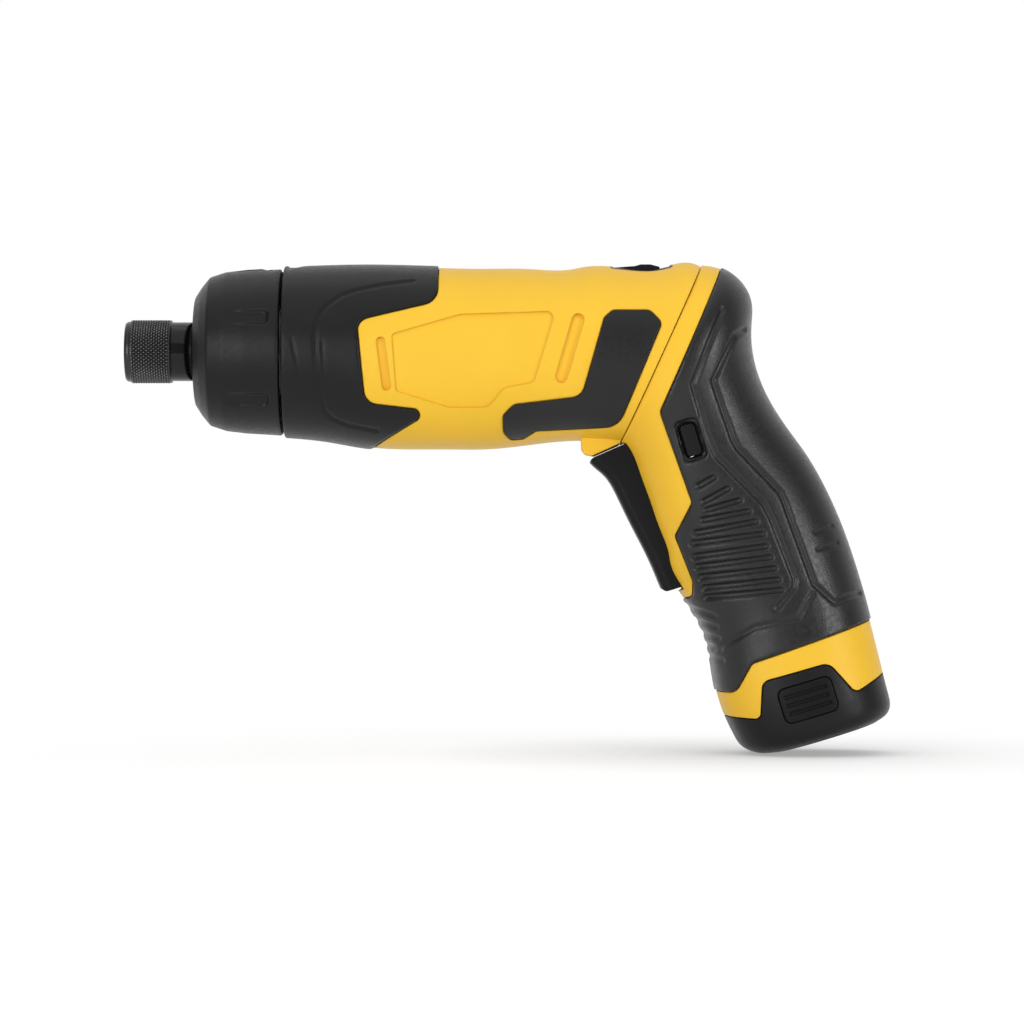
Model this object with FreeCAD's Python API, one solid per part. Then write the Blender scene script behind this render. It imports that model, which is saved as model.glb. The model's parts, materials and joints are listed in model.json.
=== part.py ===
"""Cordless screwdriver with a twist handle: a yellow body and a black grip that turn on a slanted plane.

Frame, in millimetres: the origin is the mouth of the bit socket, on the output axis. +X runs back along
that axis, from the socket to the handle, +Y is the tool's right side and +Z is up.
"""
import FreeCAD
import Part
import math
import os

from FreeCAD import Placement, Rotation, Vector

# Output end: quick-change sleeve, spindle and torque collar
socket_across_flats = 6.5
socket_depth = 15.0
sleeve_radius = 7.9
sleeve_neck_radius = 7.4
sleeve_knurl_length = 11.5
sleeve_length = 17.0
sleeve_rim_radius = 7.6
spindle_nose_radius = 5.3
spindle_shaft_radius = 6.0
collar_front = 17.4
collar_radius = 21.0
collar_face_radius = 13.6
collar_shoulder_radius = 18.6
collar_shoulder_run = 3.8
collar_wall = 3.2
collar_flutes = 6
collar_flute_depth = 0.4
collar_turn_gap = 0.5
nose_front = 39.7
boss_radius = 10.5

# Body: a lofted barrel, with the shell split on the tool's middle plane
body_radius = 21.1
body_top = 21.1
body_belly = 24.4
body_waist = 22.3
body_half_width = 22.0
shell_wall = 3.4
parting_gap = 0.1
nose_cover_proud = 0.5
nose_cover_depth = 1.5
pad_proud = 0.4
pad_depth = 1.1
inlay_gap = 0.2
panel_depth = 0.5

# Twist joint: the slanted plane between body and handle, and the ring that holds them together
twist_tilt = 24.6
twist_centre_x = 133.3
twist_centre_z = -1.25
twist_gap = 0.2
pivot_ring_bore = 8.0
pivot_ring_radius = 12.0
pivot_flange_radius = 13.4
pivot_flange_thickness = 2.4
body_end_wall = 5.0
handle_end_wall = 3.2
axial_play = 0.1
running_gap = 0.05

# Handle and battery
handle_tilt = 17.0
trigger_tilt = 23.6
handle_half_width = 17.5
handle_wall = 3.2
grip_proud = 0.45
grip_depth = 1.2
base_height = 8.2
cell_radius = 7.1
cell_length = 42.8
stick_wall = 0.9
slide_gap = 0.3

cell_bottom = -5.0
cell_pitch = 14.5
stick_top = 40.0
cap_thickness = 2.0
latch_x = -7.3
latch_z = -1.5
latch_length = 13.4
latch_height = 8.5
latch_round = 1.7
latch_inner = 12.4
latch_pocket_floor = 9.6
latch_tongue_outer = 13.0
latch_hook_height = 10.3
latch_spring_seat = 15.2
latch_proud = 0.3

# Trigger, switch and direction button
trigger_half_width = 6.5
trigger_length = 36.9
trigger_top = 1.45
trigger_top_gap = 0.13
trigger_edge_round = 2.3
switch_inward = 20.0
switch_depth = 9.0
switch_top = 9.0
switch_height = 17.0
switch_half_width = 7.0
contact_half_width = 9.0
button_x = 140.4
button_z = -22.4
button_width = 3.5
button_length = 7.9
button_round = 0.9
button_frame = 1.3

# Twist lock
lock_slot_front = 121.0
lock_slot_length = 15.5
lock_half_width = 6.7
lock_opening_half_width = 4.6
lock_frame = 0.6
lock_bezel_depth = 1.8
lock_corner_round = 1.2
bolt_half_width = 3.0
bolt_bottom = 14.3
bolt_height = 2.2
lug_half_width = 6.0

# Gearbox and motor
ring_front = 47.0
ring_rear = 74.0
ring_outer_radius = 16.9
motor_front = 75.0
motor_rear = 113.0
motor_radius = 13.8
body_front_wall = 2.3
static_gap = 0.03
rib_thickness = 2.4

gear_module = 0.7
gear_addendum = 0.56
gear_dedendum = 0.72
gear_backlash = 0.15
sun_teeth = 12
planet_teeth = 15
ring_teeth = 42
planet_length = 7.0
pin_circle = 9.45
pin_radius = 1.5
pin_length = 10.4
stage_two = 51.4
stage_one = 62.5
carrier_radius = 13.0
carrier_thickness = 3.0
journal_radius = 1.6
rotor_tip_radius = 1.3
rotor_shaft_radius = 1.6
motor_bush_radius = 4.0
case_front = 18.2
bush_radius = 9.0
bush_length = 9.0
collar_clip_front = 18.9
collar_hub_front = 20.2
collar_flute_length = 15.5
collar_flute_width = 3.8
collar_rest_angle = 67.5
clip_thickness = 0.9
clip_radius = 6.4
sleeve_clip_front = 1.6
sleeve_shoulder = 9.6
ball_radius = 1.4
ball_x = 12.0
ball_height = 3.85
lock_top = 21.6
plunger_radius = 1.9
switch_axis = 17.5
button_sink = 0.1

# Housing screws
screw_head_radius = 2.6
screw_shank_radius = 1.25
screw_seat = 7.0
screw_length = 13.0
screw_boss_radius = 3.4
body_screws = ((90.3, -18.0), (117.2, 13.3))
handle_screws = ((148.6, -3.0), (164.2, -32.5))

# Directions in the tool's middle plane
TWIST = Placement(Vector(twist_centre_x, 0, twist_centre_z), Rotation(Vector(0, 1, 0), 90 + twist_tilt))
twist_axis = TWIST.Rotation.multVec(Vector(0, 0, 1))
handle_down = Vector(math.sin(math.radians(handle_tilt)), 0, -math.cos(math.radians(handle_tilt)))
handle_back = Vector(math.cos(math.radians(handle_tilt)), 0, math.sin(math.radians(handle_tilt)))
SIDE = Vector(0, 1, 0)
FAR = 300.0
SECTION_POINTS = 16


def section_wire(front, back, half_width, exponent, inset=0.0):
    """A closed superellipse from one point of the middle plane to another, drawn in on every side."""
    along = (back - front).normalize()
    centre = (front + back) / 2
    half_length = front.distanceToPoint(back) / 2 - inset
    half_width = half_width - inset
    points = []
    for k in range(SECTION_POINTS):
        angle = 2 * math.pi * k / SECTION_POINTS
        c, s = math.cos(angle), math.sin(angle)
        u = math.copysign(abs(c) ** (2 / exponent), c) * half_length
        v = math.copysign(abs(s) ** (2 / exponent), s) * half_width
        points.append(centre - along * u + SIDE * v)
    curve = Part.BSplineCurve()
    curve.interpolate(Points=points, PeriodicFlag=True)
    return Part.Wire(curve.toShape())


def rounded_face(corners):
    """A face in the middle plane from corners (x, z, radius), each rounded by an arc of its radius."""
    edges = []
    ends = []
    count = len(corners)
    for i, (x, z, radius) in enumerate(corners):
        here = Vector(x, 0, z)
        before = Vector(corners[i - 1][0], 0, corners[i - 1][1])
        after = Vector(corners[(i + 1) % count][0], 0, corners[(i + 1) % count][1])
        if radius <= 0:
            ends.append((here, None, here))
            continue
        to_before = (before - here).normalize()
        to_after = (after - here).normalize()
        half = to_before.getAngle(to_after) / 2
        run = radius / math.tan(half)
        middle = (to_before + to_after).normalize()
        mid_point = here + middle * (radius / math.sin(half) - radius)
        ends.append((here + to_before * run, mid_point, here + to_after * run))
    for i, (start, mid_point, end) in enumerate(ends):
        if mid_point is not None:
            edges.append(Part.Arc(start, mid_point, end).toShape())
        following = ends[(i + 1) % count][0]
        if end.distanceToPoint(following) > 1e-6:
            edges.append(Part.LineSegment(end, following).toShape())
    return Part.Face(Part.Wire(edges))


def side_prism(corners, grow=0.0, half_depth=FAR / 4):
    """The outline, grown by a margin, carried through the whole width of the tool."""
    face = rounded_face(corners)
    if grow:
        face = face.makeOffset2D(grow)
    face.translate(Vector(0, -half_depth, 0))
    return face.extrude(Vector(0, 2 * half_depth, 0))


def slot_face(start, end, width):
    """Corners of a straight slot with round ends, between two points (x, z) of the middle plane."""
    a = Vector(start[0], 0, start[1])
    b = Vector(end[0], 0, end[1])
    along = (b - a).normalize()
    across = Vector(-along.z, 0, along.x) * (width / 2)
    r = width / 2 * 0.98
    corners = (a - across - along * r, b - across + along * r, b + across + along * r, a + across - along * r)
    return [(p.x, p.z, r) for p in corners]


def twist_side(from_z, to_z):
    """A slab square to the twist axis, between two distances along it from the twist centre."""
    slab = Part.makeBox(FAR, FAR, to_z - from_z, Vector(-FAR / 2, -FAR / 2, from_z))
    slab.Placement = TWIST.multiply(slab.Placement)
    return slab


def on_twist_axis(shape):
    """Places a shape made about the Z axis onto the twist axis."""
    shape.Placement = TWIST.multiply(shape.Placement)
    return shape


def left_and_right(shape):
    """Cuts a shape at the middle plane and leaves the parting gap between its halves."""
    left_box = Part.makeBox(FAR, FAR, FAR, Vector(-FAR / 3, -FAR - parting_gap / 2, -FAR / 2))
    right_box = Part.makeBox(FAR, FAR, FAR, Vector(-FAR / 3, parting_gap / 2, -FAR / 2))
    return shape.common(left_box), shape.common(right_box)


# Body form


def blend(x, table):
    """A value read from a table of (x, value), easing from each entry to the next."""
    if x <= table[0][0]:
        return table[0][1]
    for (x0, v0), (x1, v1) in zip(table, table[1:]):
        if x <= x1:
            part = (x - x0) / (x1 - x0)
            return v0 + (v1 - v0) * part * part * (3 - 2 * part)
    return table[-1][1]


def body_core(inset):
    """The barrel's outer form, drawn in by a distance: round at the collar and fuller towards the handle."""
    top = ((nose_front, body_radius - 0.2), (nose_front + 20, body_top + 0.2),
           (nose_front + 50, body_top - 0.4), (nose_front + 71.9, body_top - 0.5),
           (nose_front + 74.4, body_top))
    bottom = ((nose_front, body_radius), (nose_front + 28, body_belly), (nose_front + 52, body_belly),
              (nose_front + 70, body_waist), (twist_centre_x - 18, body_waist),
              (twist_centre_x - 6, body_waist + 0.9))
    half_width = ((nose_front, body_radius), (nose_front + 30, body_half_width),
                  (nose_front + 60, body_half_width), (twist_centre_x + 20, body_half_width - 0.4))
    fullness = ((nose_front, 2.0), (nose_front + 40, 2.2), (twist_centre_x + 20, 2.0))
    wires = []
    rear = twist_centre_x + 20 - nose_front
    for place in (0, 10, 20, 30, 40, 50, 61, 71.9, 74.4, 84, 94, 104, rear):
        x = nose_front + place
        wires.append(section_wire(Vector(x, 0, -blend(x, bottom)), Vector(x, 0, blend(x, top)),
                                  blend(x, half_width), blend(x, fullness), inset))
    return Part.makeLoft(wires, True, False)


def nose_outline():
    """The black nose cover's edge: it reaches back along the top and under the side panel."""
    return [
        (nose_front - 10, 36, 0),
        (nose_front + 38.5, 36, 0),
        (nose_front + 38.5, 11.7, 4.0),
        (nose_front + 18.7, 6.9, 3.0),
        (nose_front + 20.7, -13.4, 3.5),
        (nose_front + 37.2, -15.3, 1.5),
        (nose_front + 3.8, -34.6, 0),
        (nose_front - 10, -34.6, 0),
    ]


def pad_outline():
    """The L-shaped soft pad on each flank, in front of the twist plane."""
    return [
        (119.2, 7.5, 1.2),
        (121.3, 9.4, 1.2),
        (130.3, 9.4, 1.8),
        (133.2, 6.3, 1.8),
        (122.7, -19.0, 5.0),
        (102.4, -20.0, 2.0),
        (99.2, -21.9, 1.5),
        (96.3, -22.2, 1.6),
        (94.5, -20.4, 1.4),
        (94.4, -16.4, 1.6),
        (97.0, -13.8, 2.0),
        (113.7, -11.8, 3.5),
    ]


def panel_outline():
    """The flat panel sunk into the flank between the nose cover and the pad."""
    return [
        (67.0, 3.5, 1.0),
        (83.7, 8.4, 4.0),
        (107.2, 9.2, 1.6),
        (101.9, -8.3, 2.0),
        (94.6, -9.6, 3.0),
        (90.7, -14.4, 3.0),
        (80.9, -14.4, 6.0),
        (68.0, -10.4, 1.0),
    ]


front_slot = slot_face((64.3, 1.7), (65.7, -9.2), 2.2)
rear_slot = slot_face((112.7, 7.1), (108.6, -6.9), 3.0)


# Handle form


def handle_sections():
    """Sections from the twist plane to the battery's foot: (front, back, half width, exponent)."""
    seat = TWIST.multVec(Vector(0, 0, -1))
    down = TWIST.Rotation.multVec(Vector(1, 0, 0))
    reach = body_top / math.cos(math.radians(twist_tilt)) + 1.45
    sections = [(seat + down * reach, seat - down * reach, body_half_width - 0.5, 2.0)]
    grip = handle_half_width
    shape = (
        ((124.7, -24.8), (150.9, 19.45), body_half_width - 0.8, 2.05),
        ((125.9, -26.8), (154.0, 16.6), grip + 3.4, 2.1),
        ((127.2, -30.2), (156.3, 10.6), grip + 2.4, 2.15),
        ((128.9, -34.8), (156.1, 2.2), grip + 1.6, 2.2),
        ((130.7, -39.8), (158.3, -7.6), grip + 1.0, 2.25),
        ((132.6, -45.3), (164.4, -18.6), grip + 0.4, 2.3),
        ((134.6, -51.3), (171.6, -29.0), grip, 2.35),
        ((136.6, -57.2), (178.2, -42.6), grip, 2.35),
        ((142.2, -65.5), (182.0, -53.4), grip - 0.2, 2.35),
        ((145.4, -72.4), (184.2, -60.7), grip, 2.35),
        ((146.8, -79.6), (186.0, -67.6), grip + 0.4, 2.4),
        ((148.7, -88.0), (188.1, -76.0), grip + 0.9, 2.45),
        ((151.5, -94.6), (189.8, -82.9), grip + 1.1, 2.45),
    )
    for (fx, fz), (bx, bz), half_width, exponent in shape:
        sections.append((Vector(fx, 0, fz), Vector(bx, 0, bz), half_width, exponent))
    # The foot is rounded by drawing the last sections in, most of all at the front.
    front, back, half_width, exponent = sections[-1]
    for drop, front_in, back_in, side_in in ((0.37, 0.6, 0.1, 0.2), (0.66, 1.9, 0.5, 0.7),
                                             (0.87, 4.2, 1.8, 2.2), (1.0, 8.0, 4.6, 5.0)):
        step = handle_down * (base_height * drop)
        sections.append((front + step + handle_back * front_in, back + step - handle_back * back_in,
                         half_width - side_in, exponent))
    return sections


def handle_core(inset):
    """The handle's and battery's outer form in one, drawn in by a distance."""
    wires = [section_wire(*section, inset) for section in handle_sections()]
    return Part.makeLoft(wires, True, False)


def grip_outline():
    """The edge of the soft grip: the back of the handle, a waist behind the trigger and the palm swell."""
    return [
        (149.3, 22.0, 0),
        (132.9, -15.5, 2.5),
        (140.9, -37.8, 1.5),
        (136.9, -46.0, 1.5),
        (141.3, -57.2, 1.5),
        (141.4, -61.0, 1.0),
        (134.0, -63.6, 0),
        (140.0, -84.8, 0),
        (151.8, -84.6, 2.5),
        (155.6, -77.4, 2.0),
        (205.0, -59.9, 0),
        (205.0, 22.0, 0),
    ]


def battery_outline():
    """The edge of the battery foot: low at the front and raised under the latch."""
    return [
        (140.0, -89.8, 0),
        (150.3, -91.1, 1.0),
        (157.9, -91.4, 1.6),
        (158.3, -82.0, 2.2),
        (174.3, -77.4, 3.0),
        (181.0, -84.8, 2.0),
        (188.7, -80.3, 1.0),
        (200.0, -74.0, 0),
        (200.0, -112.0, 0),
        (140.0, -112.0, 0),
    ]


HANDLE = Placement(Vector(170.65, 0, -88.75), Rotation(Vector(0, 1, 0), -handle_tilt))
TRIGGER = Placement(Vector(124.75, 0, -24.6), Rotation(Vector(0, 1, 0), -trigger_tilt))


def in_handle(shape):
    """Places a shape made with Z up the handle and X to its back."""
    shape.Placement = HANDLE.multiply(shape.Placement)
    return shape


def at_trigger(shape):
    """Places a shape made with X into the handle, along the trigger's slide, and Z up its front."""
    shape.Placement = TRIGGER.multiply(shape.Placement)
    return shape


def seen_from_twist(point):
    """A point of the middle plane as (distance from the twist axis, place along it)."""
    reach = point - TWIST.Base
    return reach.dot(TWIST.Rotation.multVec(Vector(1, 0, 0))), reach.dot(twist_axis)


def turned(profile):
    """A solid of revolution about the output axis from a closed profile of (x, radius)."""
    points = [Vector(x, 0, r) for x, r in profile]
    face = Part.Face(Part.makePolygon(points + points[:1]))
    return face.revolve(Vector(), Vector(1, 0, 0), 360)


def tube(x0, x1, outer, inner=0.0):
    """A cylinder or tube on the output axis."""
    solid = Part.makeCylinder(outer, x1 - x0, Vector(x0, 0, 0), Vector(1, 0, 0))
    if inner:
        solid = solid.cut(Part.makeCylinder(inner, x1 - x0, Vector(x0, 0, 0), Vector(1, 0, 0)))
    return solid


def coil(radius, wire, length, turns):
    """A compression spring along +Z from the origin."""
    pitch = (length - 2 * wire) / turns
    path = Part.makeHelix(pitch, length - 2 * wire, radius)
    path.translate(Vector(0, 0, wire))
    profile = Part.Wire(Part.makeCircle(wire, Vector(radius, 0, wire), Vector(0, 1, 0)))
    return Part.Wire(path).makePipeShell([profile], True, True)


def stadium(half_length, radius, z0, z1):
    """A flat-sided column with round ends, along Z, its length along X."""
    column = Part.makeBox(2 * half_length, 2 * radius, z1 - z0, Vector(-half_length, -radius, z0))
    for end in (-half_length, half_length):
        column = column.fuse(Part.makeCylinder(radius, z1 - z0, Vector(end, 0, z0)))
    return column.removeSplitter()


def rounded_block(x0, x1, y, z0, z1, radius):
    """A block centred on the middle plane with its long edges along Y rounded."""
    block = Part.makeBox(x1 - x0, 2 * y, z1 - z0, Vector(x0, -y, z0))
    edges = [e for e in block.Edges if abs(e.tangentAt(e.FirstParameter).y) > 0.99]
    return block.makeFillet(radius, edges)


# Body and its trims


def screw_column(x, z, radius, y0, y1):
    """A cylinder along the tool's width, where a housing screw sits."""
    return Part.makeCylinder(radius, y1 - y0, Vector(x, y0, z), SIDE)


def screw_tools(places):
    """Holes for the housing screws: a counterbore and a clearance hole on the right, a core on the left."""
    tools = []
    for x, z in places:
        tools.append(screw_column(x, z, screw_head_radius + 0.25, screw_seat, FAR / 4))
        tools.append(screw_column(x, z, screw_shank_radius + 0.15, 0, screw_seat))
        tools.append(screw_column(x, z, screw_shank_radius + 0.02, screw_seat - screw_length - 1, 0))
    return tools


def body_cavity():
    """The hollow inside the body, with ribs left standing round the gearbox and motor and at the screws."""
    room = body_core(shell_wall).common(twist_side(-FAR, -body_end_wall))
    room = room.cut(Part.makeBox(body_front_wall + 10, FAR, FAR, Vector(nose_front - 10, -FAR / 2, -FAR / 2)))
    posts = [screw_column(x, z, screw_boss_radius, -FAR / 4, FAR / 4) for x, z in body_screws]
    for x0 in (ring_front + 4, ring_rear - 7, motor_front + 4, motor_rear - 10):
        posts.append(Part.makeBox(rib_thickness, FAR, FAR, Vector(x0, -FAR / 2, -FAR / 2)))
    room = room.cut(posts)
    gear_room = tube(nose_front + body_front_wall, ring_rear + 0.5, ring_outer_radius + static_gap)
    motor_room = tube(ring_rear + 0.4, motor_rear + 1, motor_radius + static_gap)
    return room.fuse([gear_room, motor_room])


def lug():
    """The rounded stop under the body, in front of the trigger's top."""
    outline = [
        (113.7, -20.0, 0),
        (113.9, -24.7, 0.8),
        (114.8, -25.8, 1.0),
        (117.2, -26.3, 0.5),
        (126.4, -22.4, 0),
        (126.4, -18.0, 0),
    ]
    block = side_prism(outline, 0, lug_half_width)
    # The trigger's top swings past under the lug when the handle twists.
    edge = trigger_top + trigger_top_gap
    near, near_z = seen_from_twist(TRIGGER.multVec(Vector(-24, 0, edge)))
    far, far_z = seen_from_twist(TRIGGER.multVec(Vector(6, 0, edge)))
    swing = on_twist_axis(Part.makeCone(near, far, far_z - near_z, Vector(0, 0, near_z)))
    return block.common(swing)


def lock_slot(margin=0.0):
    """The opening in the roof that the twist-lock slider and its bezel sit in."""
    slot = Part.makeBox(lock_slot_length - 2 * margin, 2 * (lock_half_width - margin), 20,
                        Vector(lock_slot_front + margin, margin - lock_half_width, 12))
    edges = [e for e in slot.Edges if abs(e.tangentAt(e.FirstParameter).z) > 0.99]
    return slot.makeFillet(lock_corner_round, edges)


def lock_opening():
    """The opening in the bezel, that the slider shows through."""
    half = lock_opening_half_width
    return Part.makeBox(lock_slot_length - 2 * lock_frame, 2 * half, 20,
                        Vector(lock_slot_front + lock_frame, -half, 12))


def lock_bezel():
    """The black frame that lines the twist lock's slot, flush with the roof."""
    lining = body_core(0).cut(body_core(lock_bezel_depth))
    return lock_slot(static_gap).common(lining).cut(lock_opening())


def lock_bolt(x0, x1, margin=0.0):
    """The slider's bolt, that passes the body's end wall and enters the handle's."""
    return Part.makeBox(x1 - x0, 2 * (bolt_half_width + margin), bolt_height + 2 * margin,
                        Vector(x0, -bolt_half_width - margin, bolt_bottom - margin))


def body_shell():
    """Both body halves as one, before the cut at the middle plane."""
    shell = body_core(0).fuse(lug()).common(twist_side(-FAR, 0))
    tools = [body_cavity(), lock_slot(), lock_bolt(lock_slot_front, FAR / 2, slide_gap)]
    tools.append(tube(nose_front - 1, nose_front + body_front_wall + 1, boss_radius + static_gap))
    tools.append(on_twist_axis(Part.makeCylinder(pivot_ring_radius + static_gap, 20, Vector(0, 0, -10))))
    tools.append(side_prism(nose_outline(), inlay_gap).cut(body_core(nose_cover_depth + static_gap)))
    tools.append(side_prism(pad_outline(), inlay_gap).cut(body_core(pad_depth + static_gap)))
    tools.append(side_prism(panel_outline()).cut(body_core(panel_depth)))
    for slot in (front_slot, rear_slot):
        tools.append(side_prism(slot).cut(body_core(2 * panel_depth)))
    return shell.cut(tools + screw_tools(body_screws))


def nose_cover():
    """The black cover moulded round the front of the body."""
    skin = body_core(-nose_cover_proud).cut(body_core(nose_cover_depth))
    return skin.common(side_prism(nose_outline()))


def side_pads():
    """The soft pads of the left and right flank."""
    skin = body_core(-pad_proud).cut(body_core(pad_depth)).common(side_prism(pad_outline()))
    return left_and_right(skin)


# Handle and its trims


def button_corners(grow=0.0):
    """The direction button's outline, a rounded oblong that leans with the handle."""
    middle = Vector(button_x, 0, button_z)
    down = handle_down * (button_length / 2 + grow)
    back = handle_back * (button_width / 2 + grow)
    corners = (middle - down - back, middle - down + back, middle + down + back, middle + down - back)
    return [(p.x, p.z, button_round + grow / 2) for p in corners]


def trigger_slot():
    """The opening in the front of the handle that the trigger slides in."""
    return at_trigger(rounded_block(-40, 7, trigger_half_width + slide_gap, -trigger_length - 0.7,
                                    trigger_top + trigger_top_gap, 1.0))


def handle_cavity():
    """The hollow inside the handle, with webs that hold the switch, the contacts and the battery stick."""
    room = handle_core(handle_wall).common(twist_side(twist_gap + handle_end_wall, FAR))
    posts = [screw_column(x, z, screw_boss_radius, -FAR / 4, FAR / 4) for x, z in handle_screws]
    for z0 in (-13, -24):
        posts.append(at_trigger(Part.makeBox(switch_depth + 2, FAR, rib_thickness,
                                             Vector(switch_inward, -FAR / 2, z0))))
    posts.append(in_handle(Part.makeBox(18, FAR, 4, Vector(-7, -FAR / 2, stick_top + 1.4))))
    for z0 in (18, stick_top - 6):
        posts.append(in_handle(Part.makeBox(60, FAR, rib_thickness, Vector(-30, -FAR / 2, z0))))
    room = room.cut(posts)
    stick_radius = cell_radius + stick_wall + slide_gap
    channel = in_handle(stadium(cell_pitch / 2, stick_radius, -5, stick_top + 1.0))
    switch_room = at_trigger(Part.makeBox(switch_depth + 2 * static_gap, 2 * (switch_half_width + static_gap),
                                          switch_height + 2 * static_gap,
                                          Vector(switch_inward - static_gap, -switch_half_width - static_gap,
                                                 -switch_top - switch_height - static_gap)))
    block_room = in_handle(Part.makeBox(14 + 2 * static_gap, 2 * (contact_half_width + static_gap), 12,
                                        Vector(-5 - static_gap, -contact_half_width - static_gap,
                                               stick_top + 1.0)))
    return room.fuse([channel, switch_room, block_room])


def latch_window(side):
    """The guide in the handle wall that a battery latch's hook runs in, open at the rim."""
    y = latch_tongue_outer - 0.2
    window = Part.makeBox(8.1, 3.8, 8.1, Vector(-3.3, y, latch_hook_height - 6.0))
    if side < 0:
        window = window.mirror(Vector(), SIDE)
    return in_handle(window)


def lock_notches():
    """The two notches in the handle's end wall that take the lock bolt, half a turn apart."""
    notch = lock_bolt(lock_slot_front, FAR / 2, 0.35)
    notch = notch.common(twist_side(twist_gap - 1, twist_gap + handle_end_wall))
    opposite = notch.copy()
    opposite.rotate(TWIST.Base, twist_axis, 180)
    return [notch, opposite]


def handle_shell():
    """Both handle halves as one, before the cut at the middle plane."""
    shell = handle_core(0).common(twist_side(twist_gap, FAR))
    tools = [handle_cavity(), trigger_slot(), side_prism(battery_outline(), slide_gap)]
    tools.append(on_twist_axis(Part.makeCylinder(pivot_ring_radius + running_gap, 20, Vector(0, 0, -10))))
    tools.append(side_prism(grip_outline(), inlay_gap).cut(handle_core(grip_depth + static_gap)))
    tools.append(side_prism(button_corners(static_gap + 0.09)))
    tools += [latch_window(1), latch_window(-1)]
    tools += lock_notches() + screw_tools(handle_screws)
    return shell.cut(tools)


def grips():
    """The soft grip's left and right halves."""
    skin = handle_core(-grip_proud).cut(handle_core(grip_depth)).common(side_prism(grip_outline()))
    skin = skin.common(twist_side(twist_gap, FAR))
    recess = side_prism(button_corners(button_frame)).cut(handle_core(0.6))
    skin = skin.cut([trigger_slot(), side_prism(button_corners(0.25)), recess] + screw_tools(handle_screws))
    return left_and_right(skin)


# Battery


def latch_block(grow, y0, depth):
    """A block with the latch's rounded outline, grown by a margin, from y0 outwards."""
    block = Part.makeBox(latch_length + 2 * grow, depth, latch_height + 2 * grow,
                         Vector(latch_x - grow, y0, latch_z - grow))
    edges = [e for e in block.Edges if abs(e.tangentAt(e.FirstParameter).y) > 0.99]
    return block.makeFillet(latch_round + grow, edges)


def latch_pocket(side):
    """The room in the battery foot that a latch moves in."""
    body = latch_block(0.2, latch_pocket_floor, 30)
    channel = Part.makeBox(7.9, latch_tongue_outer + 0.2 - 8.4, 20, Vector(-3.2, 8.4, latch_z))
    pocket = body.fuse(channel)
    if side < 0:
        pocket = pocket.mirror(Vector(), SIDE)
    return in_handle(pocket)


def battery_shell():
    """The battery's foot and the stick that reaches up into the handle, bored for its cells."""
    foot = handle_core(0).common(side_prism(battery_outline()))
    stick = in_handle(stadium(cell_pitch / 2, cell_radius + stick_wall, -4, stick_top - cap_thickness))
    foot = foot.cut([latch_pocket(1), latch_pocket(-1)])
    shell = foot.fuse(stick)
    bores = []
    for x in (-cell_pitch / 2, cell_pitch / 2):
        bore = Part.makeCylinder(cell_radius + static_gap, FAR / 2, Vector(x, 0, cell_bottom))
        bores.append(in_handle(bore))
    return shell.cut(bores)


def battery_cap():
    """The lid on the battery stick, with its two contact tabs."""
    cap = stadium(cell_pitch / 2, cell_radius + stick_wall, stick_top - cap_thickness, stick_top)
    return in_handle(cap)


def cell():
    """One round cell with its raised pole, standing on the origin."""
    body = Part.makeCylinder(cell_radius, cell_length - 1.0)
    body = body.makeFillet(0.8, [e for e in body.Edges if e.Curve.TypeId == "Part::GeomCircle"])
    return body.fuse(Part.makeCylinder(2.6, cell_length - 0.2)).removeSplitter()


def latch():
    """The right-hand battery latch: a ribbed tab and a hook, in the handle's local frame."""
    tab = in_handle(latch_block(0, latch_inner, 20)).common(handle_core(-latch_proud))
    for k in range(3):
        groove = Part.makeBox(latch_length - 2.6, 20, 0.9,
                              Vector(latch_x + 1.3, 0, latch_z + 1.7 + 2.1 * k))
        tab = tab.cut(in_handle(groove).cut(handle_core(0.25)))
    tongue = Part.makeBox(7.5, latch_tongue_outer - 11.0, latch_hook_height + 1.7 - latch_z - 1,
                          Vector(-3.0, 11.0, latch_z + 1))
    hook = Part.makeBox(7.5, latch_tongue_outer + 3.2 - 11.0, 1.7, Vector(-3.0, 11.0, latch_hook_height))
    neck = Part.makeBox(7.5, latch_inner + 1 - 11.0, latch_height - 1, Vector(-3.0, 11.0, latch_z + 1))
    middle = Vector(latch_x + latch_length / 2, 0, latch_z + latch_height / 2)
    seat = in_handle(Part.makeCylinder(2.4, latch_spring_seat, middle, SIDE))
    return tab.fuse([in_handle(tongue), in_handle(hook), in_handle(neck)]).cut(seat).removeSplitter()


# Output end


def hex_prism(across_flats, x0, x1):
    """A hexagonal prism on the output axis."""
    r = across_flats / math.sqrt(3)
    turns = [math.radians(60 * k) for k in range(7)]
    points = [Vector(x0, r * math.cos(t), r * math.sin(t)) for t in turns]
    return Part.Face(Part.makePolygon(points)).extrude(Vector(x1 - x0, 0, 0))


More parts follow.
